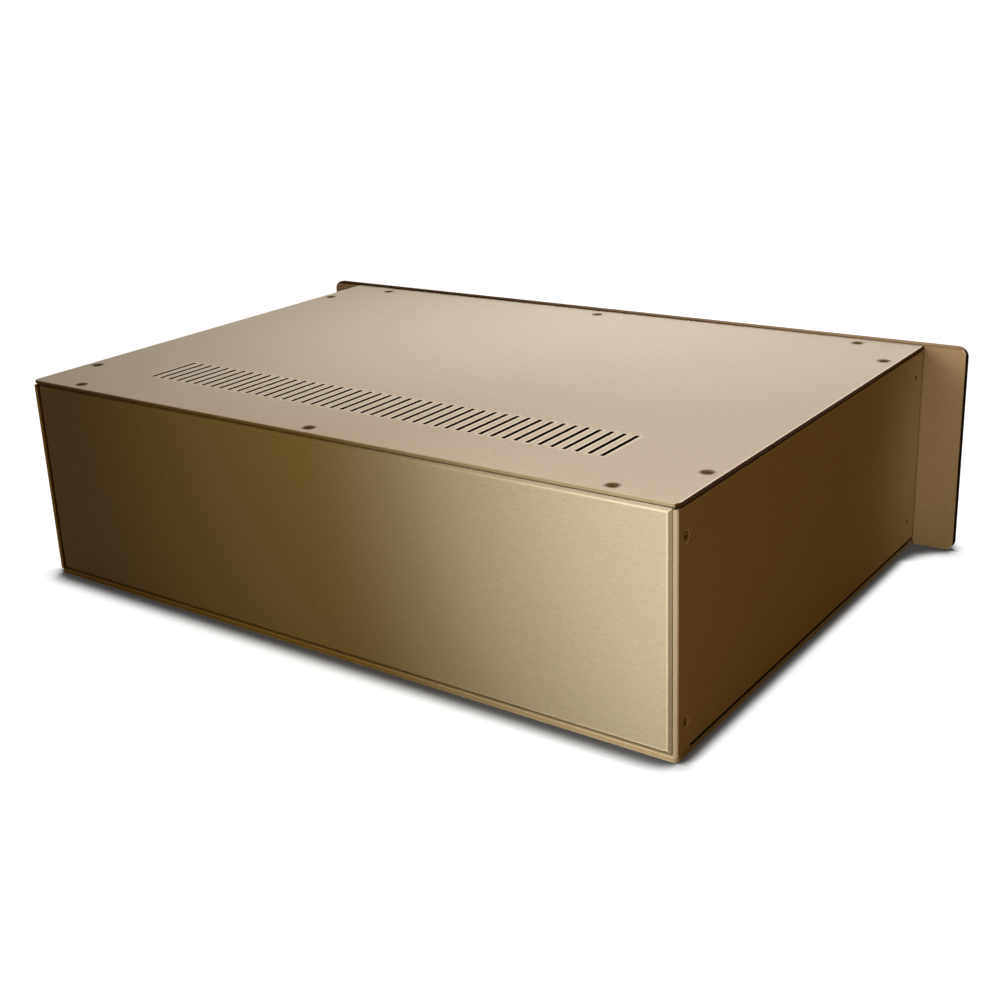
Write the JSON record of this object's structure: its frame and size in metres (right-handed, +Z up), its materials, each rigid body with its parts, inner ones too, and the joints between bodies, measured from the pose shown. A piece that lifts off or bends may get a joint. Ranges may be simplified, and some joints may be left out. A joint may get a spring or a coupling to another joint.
{
  "type": "amplifier chassis",
  "caption": "Flat rectangular amplifier chassis of screwed aluminium plates, with an overhanging front panel, a blank bevelled rear panel and a row of vent slots in its top cover.",
  "frame": {"origin": "middle of the footprint of the whole chassis, on the surface that it stands on", "axes": "+X across the chassis towards its right side as seen from the front, -Y out of the front panel, +Z up"},
  "size_m": [0.48, 0.304, 0.1252],
  "materials": {
    "brushed_plate": "champagne anodised, brushed along its length",
    "satin_sheet": "champagne anodised, fine matt",
    "frame_bar": "plain milled",
    "screw": "bronze-coloured coating"
  },
  "bodies": {
    "root": {"front_panel": "brushed_plate", "rear_panel": "brushed_plate", "left_side_panel": "brushed_plate", "right_side_panel": "brushed_plate", "top_cover": "satin_sheet", "bottom_plate": "satin_sheet", "front_left_post": "frame_bar", "front_right_post": "frame_bar", "rear_left_post": "frame_bar", "rear_right_post": "frame_bar", "front_top_rail": "frame_bar", "front_bottom_rail": "frame_bar", "rear_top_rail": "frame_bar", "rear_bottom_rail": "frame_bar", "left_top_rail": "frame_bar", "left_bottom_rail": "frame_bar", "right_top_rail": "frame_bar", "right_bottom_rail": "frame_bar", "top_cover_screws": "screw", "bottom_plate_screws": "screw", "left_side_screws": "screw", "right_side_screws": "screw", "front_panel_screws": "screw", "rear_panel_screws": "screw", "cross_rail_screws": "screw", "front_side_rail_screws": "screw", "rear_side_rail_screws": "screw"}
  },
  "joints": []
}
